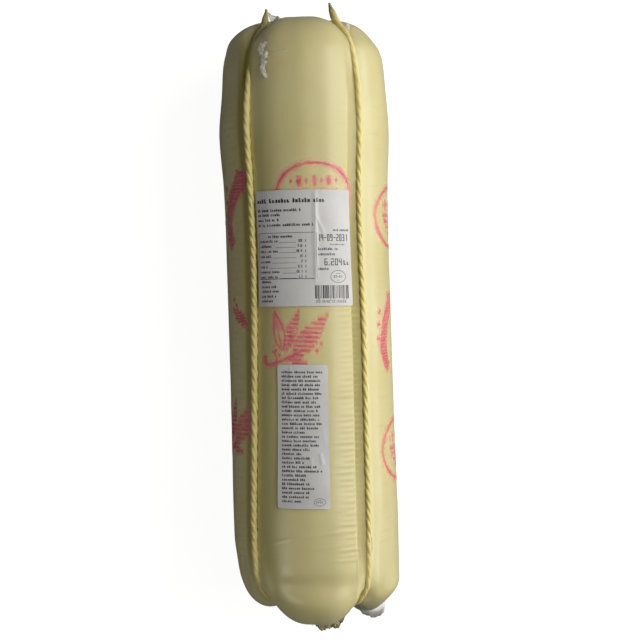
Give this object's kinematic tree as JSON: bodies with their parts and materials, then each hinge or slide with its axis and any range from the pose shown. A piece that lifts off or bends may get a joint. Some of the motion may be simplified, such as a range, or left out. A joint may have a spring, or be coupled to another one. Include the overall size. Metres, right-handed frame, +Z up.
{
  "type": "provolone cheese",
  "caption": "Whole salame-shaped provolone cheese in clear shrunk film, pressed into long lobes by tying cords, with paper labels along its upper lobe, lying on its side.",
  "frame": {"origin": "centre of the flat strip that the cheese lies on, under the middle of its length", "axes": "+Y along the log towards the end with the free cord tails, -Y towards the knotted end, +Z up through the upper lobe that carries the labels, +X to the right as seen from above with the cord tails at the top"},
  "size_m": [0.13, 0.4777, 0.1252],
  "materials": {
    "cheese": "pale straw-yellow cheese under a skin-tight glossy clear film",
    "cord": "straw-yellow three-strand twine, matt and slightly hairy",
    "film": "clear food film, crumpled until it looks milky",
    "label": "white coated paper label, satin"
  },
  "bodies": {
    "root": {"cheese": "cheese", "cord_front_left": "cord", "cord_front_right": "cord", "cord_back_left": "cord", "cord_back_right": "cord", "bottom_knot": "film", "film_seam_top": "film", "film_corner_top": "film", "film_tail_bottom": "film", "label_large": "label", "label_small": "label"}
  },
  "joints": []
}
